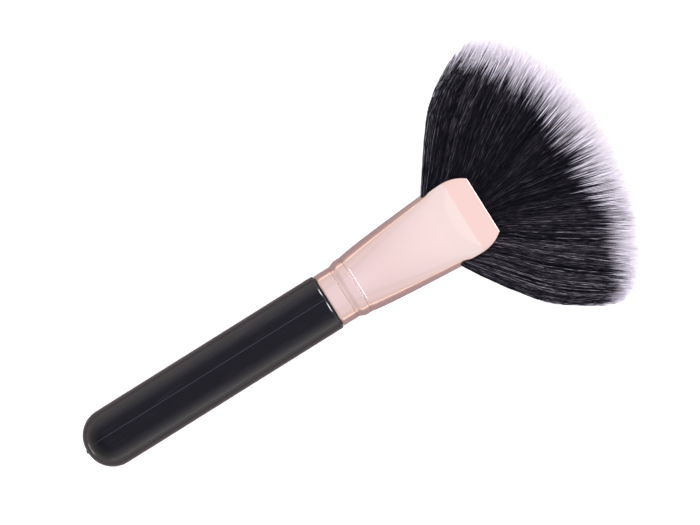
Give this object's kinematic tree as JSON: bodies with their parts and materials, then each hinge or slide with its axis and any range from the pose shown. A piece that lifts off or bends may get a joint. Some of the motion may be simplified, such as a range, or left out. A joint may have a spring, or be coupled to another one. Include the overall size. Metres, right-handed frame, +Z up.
{
  "type": "fan makeup brush",
  "caption": "Large fan brush for face powder: round glossy handle with a domed butt, flattened metal ferrule with tongue-shaped faces, and soft fibres spread in a half disc.",
  "frame": {"origin": "under the middle of the brush's length, on its axis, on the surface that it lies on", "axes": "+X from the butt of the handle to the fibre tips, Y across the fan, +Z up through its thickness"},
  "size_m": [0.1653, 0.0788, 0.0172],
  "materials": {
    "handle_plastic": "polished moulded black",
    "ferrule_metal": "bright anodised rose gold",
    "adhesive": "cured glue",
    "resin": "cast epoxy",
    "thread": "waxed cotton",
    "fibre": "black fibre with pale tips"
  },
  "bodies": {
    "root": {"handle": "handle_plastic", "ferrule": "ferrule_metal", "neck_adhesive": "adhesive", "root_plug": "resin", "root_binding": "thread", "bristles_top": "fibre", "bristles_upper": "fibre", "bristles_lower": "fibre", "bristles_bottom": "fibre"}
  },
  "joints": []
}
